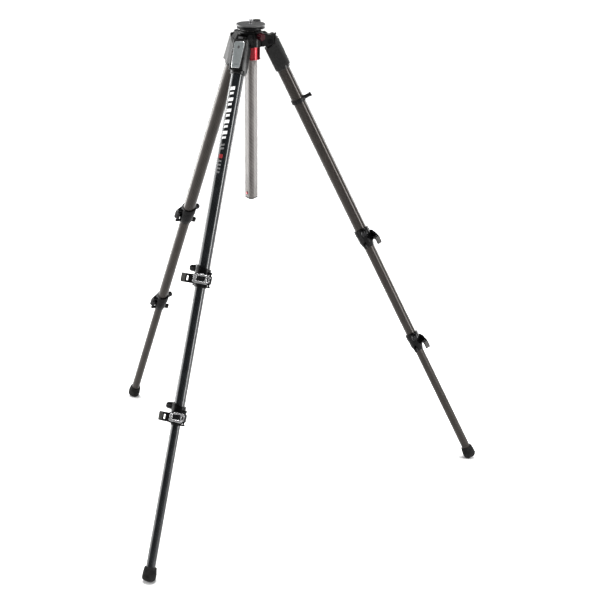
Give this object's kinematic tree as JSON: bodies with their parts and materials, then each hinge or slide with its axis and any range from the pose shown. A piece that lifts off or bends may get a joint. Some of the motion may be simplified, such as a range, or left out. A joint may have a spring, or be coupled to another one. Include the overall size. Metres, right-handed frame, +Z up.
{
  "type": "camera tripod",
  "caption": "Folding carbon tripod with flip-lock telescopic legs, hinged spider, sliding rounded-triangle column and a bare head plate with threaded stud.",
  "frame": {"origin": "centre of the head plate's top face, on the column's axis", "axes": "+Z up along the column and the head stud; -Y towards the front leg; the other legs at 30 and 150 degrees about +Z from +X"},
  "size_m": [0.9612, 0.8363, 1.0828],
  "materials": {
    "cast_black": "gloss black enamel on a magnesium casting",
    "cast_grey": "matte charcoal powder coat",
    "red_anodised": "red anodised, satin",
    "red_knob": "dark red, glossy",
    "red_button": "red, glossy",
    "black_plastic": "fine-grained moulding",
    "vial": "clear acrylic with green fluid",
    "carbon": "clear-coated carbon twill",
    "column_carbon": "satin carbon, warm grey sheen",
    "black_metal": "semi-gloss black",
    "plate_metal": "satin charcoal",
    "dark_steel": "blackened steel",
    "steel": "machined steel",
    "clamp_black": "satin technopolymer",
    "lever_black": "semi-gloss technopolymer",
    "trim_silver": "satin silver",
    "label_silver": "satin silver-grey plate",
    "button_grey": "fine-grained moulding",
    "foot_rubber": "matte black rubber"
  },
  "bodies": {
    "spider": {"spider": "cast_black", "column_bush": "red_anodised", "hinge_bolts": "steel"},
    "column": {"center_column": "column_carbon", "column_head": "black_metal", "head_plate": "plate_metal", "head_stud": "dark_steel", "plate_set_screws": "dark_steel", "column_end_cap": "black_plastic"},
    "release_button": {"column_release_button": "red_button"},
    "lock_knob": {"column_lock_knob": "red_knob"},
    "level": {"level_ring": "black_plastic", "level_vial": "vial"},
    "front_leg": {"front_leg_casting": "cast_grey", "front_label_plate": "label_silver", "front_upper_tube": "carbon", "front_upper_clamp": "clamp_black", "front_upper_clamp_screws": "steel"},
    "front_angle": {"front_angle_button": "button_grey"},
    "front_upper_flip": {"front_upper_lever": "lever_black", "front_upper_lever_trim": "trim_silver"},
    "front_middle": {"front_middle_tube": "carbon", "front_lower_clamp": "clamp_black", "front_lower_clamp_screws": "steel"},
    "front_lower_flip": {"front_lower_lever": "lever_black", "front_lower_lever_trim": "trim_silver"},
    "front_lower": {"front_lower_tube": "carbon", "front_foot": "foot_rubber"},
    "right_leg": {"right_leg_casting": "cast_grey", "right_label_plate": "label_silver", "right_upper_tube": "carbon", "right_upper_clamp": "clamp_black", "right_upper_clamp_screws": "steel", "strap_ring": "black_plastic"},
    "right_angle": {"right_angle_button": "button_grey"},
    "right_upper_flip": {"right_upper_lever": "lever_black", "right_upper_lever_trim": "trim_silver"},
    "right_middle": {"right_middle_tube": "carbon", "right_lower_clamp": "clamp_black", "right_lower_clamp_screws": "steel"},
    "right_lower_flip": {"right_lower_lever": "lever_black", "right_lower_lever_trim": "trim_silver"},
    "right_lower": {"right_lower_tube": "carbon", "right_foot": "foot_rubber"},
    "left_leg": {"left_leg_casting": "cast_grey", "left_label_plate": "label_silver", "left_upper_tube": "carbon", "left_upper_clamp": "clamp_black", "left_upper_clamp_screws": "steel"},
    "left_angle": {"left_angle_button": "button_grey"},
    "left_upper_flip": {"left_upper_lever": "lever_black", "left_upper_lever_trim": "trim_silver"},
    "left_middle": {"left_middle_tube": "carbon", "left_lower_clamp": "clamp_black", "left_lower_clamp_screws": "steel"},
    "left_lower_flip": {"left_lower_lever": "lever_black", "left_lower_lever_trim": "trim_silver"},
    "left_lower": {"left_lower_tube": "carbon", "left_foot": "foot_rubber"}
  },
  "joints": [
    {"name": "column_slide", "type": "slide", "parent": "spider", "child": "column", "axis": [0, 0, 1], "range_m": [0, 0.29]},
    {"name": "column_lock_turn", "type": "hinge", "parent": "spider", "child": "lock_knob", "pos_m": [0.03291, -0.019, -0.024], "axis": [0.866, -0.5, 0], "range_deg": [0, 270]},
    {"name": "level_swivel", "type": "hinge", "parent": "spider", "child": "level", "pos_m": [0, 0, -0.017], "axis": [0, 0, 1], "range_deg": [-95, 120]},
    {"name": "column_release_press", "type": "slide", "parent": "column", "child": "release_button", "axis": [0.592, 0.8059, 0], "range_m": [0, 0.0014], "stiffness_N_per_m": 500},
    {"name": "front_spread", "type": "hinge", "parent": "spider", "child": "front_leg", "pos_m": [0, -0.04, -0.036], "axis": [-1, 0, 0], "range_deg": [-25.85, 62.15]},
    {"name": "front_angle_press", "type": "slide", "parent": "front_leg", "child": "front_angle", "axis": [0, 0.8999, -0.436], "range_m": [0, 0.0016], "stiffness_N_per_m": 500},
    {"name": "front_middle_slide", "type": "slide", "parent": "front_leg", "child": "front_middle", "axis": [0, -0.436, -0.8999], "range_m": [-0.241, 0.14]},
    {"name": "front_upper_flip_turn", "type": "hinge", "parent": "front_leg", "child": "front_upper_flip", "pos_m": [0.02161, -0.26869, -0.49413], "axis": [0, 0.436, 0.8999], "range_deg": [0, 110]},
    {"name": "front_lower_slide", "type": "slide", "parent": "front_middle", "child": "front_lower", "axis": [0, -0.436, -0.8999], "range_m": [-0.29, 0.11]},
    {"name": "front_lower_flip_turn", "type": "hinge", "parent": "front_middle", "child": "front_lower_flip", "pos_m": [0.01902, -0.39541, -0.75831], "axis": [0, 0.436, 0.8999], "range_deg": [0, 110]},
    {"name": "right_spread", "type": "hinge", "parent": "spider", "child": "right_leg", "pos_m": [0.03464, 0.02, -0.036], "axis": [0.5, -0.866, 0], "range_deg": [-25.85, 62.15]},
    {"name": "right_angle_press", "type": "slide", "parent": "right_leg", "child": "right_angle", "axis": [-0.7794, -0.45, -0.436], "range_m": [0, 0.0016], "stiffness_N_per_m": 500},
    {"name": "right_middle_slide", "type": "slide", "parent": "right_leg", "child": "right_middle", "axis": [0.3776, 0.218, -0.8999], "range_m": [-0.241, 0.14]},
    {"name": "right_upper_flip_turn", "type": "hinge", "parent": "right_leg", "child": "right_upper_flip", "pos_m": [0.22189, 0.15306, -0.49413], "axis": [-0.3776, -0.218, 0.8999], "range_deg": [0, 110]},
    {"name": "right_lower_slide", "type": "slide", "parent": "right_middle", "child": "right_lower", "axis": [0.3776, 0.218, -0.8999], "range_m": [-0.29, 0.11]},
    {"name": "right_lower_flip_turn", "type": "hinge", "parent": "right_middle", "child": "right_lower_flip", "pos_m": [0.33293, 0.21418, -0.75831], "axis": [-0.3776, -0.218, 0.8999], "range_deg": [0, 110]},
    {"name": "left_spread", "type": "hinge", "parent": "spider", "child": "left_leg", "pos_m": [-0.03464, 0.02, -0.036], "axis": [0.5, 0.866, 0], "range_deg": [-25.85, 62.15]},
    {"name": "left_angle_press", "type": "slide", "parent": "left_leg", "child": "left_angle", "axis": [0.7794, -0.45, -0.436], "range_m": [0, 0.0016], "stiffness_N_per_m": 500},
    {"name": "left_middle_slide", "type": "slide", "parent": "left_leg", "child": "left_middle", "axis": [-0.3776, 0.218, -0.8999], "range_m": [-0.241, 0.14]},
    {"name": "left_upper_flip_turn", "type": "hinge", "parent": "left_leg", "child": "left_upper_flip", "pos_m": [-0.2435, 0.11564, -0.49413], "axis": [0.3776, -0.218, 0.8999], "range_deg": [0, 110]},
    {"name": "left_lower_slide", "type": "slide", "parent": "left_middle", "child": "left_lower", "axis": [-0.3776, 0.218, -0.8999], "range_m": [-0.29, 0.11]},
    {"name": "left_lower_flip_turn", "type": "hinge", "parent": "left_middle", "child": "left_lower_flip", "pos_m": [-0.35195, 0.18123, -0.75831], "axis": [0.3776, -0.218, 0.8999], "range_deg": [0, 110]}
  ]
}
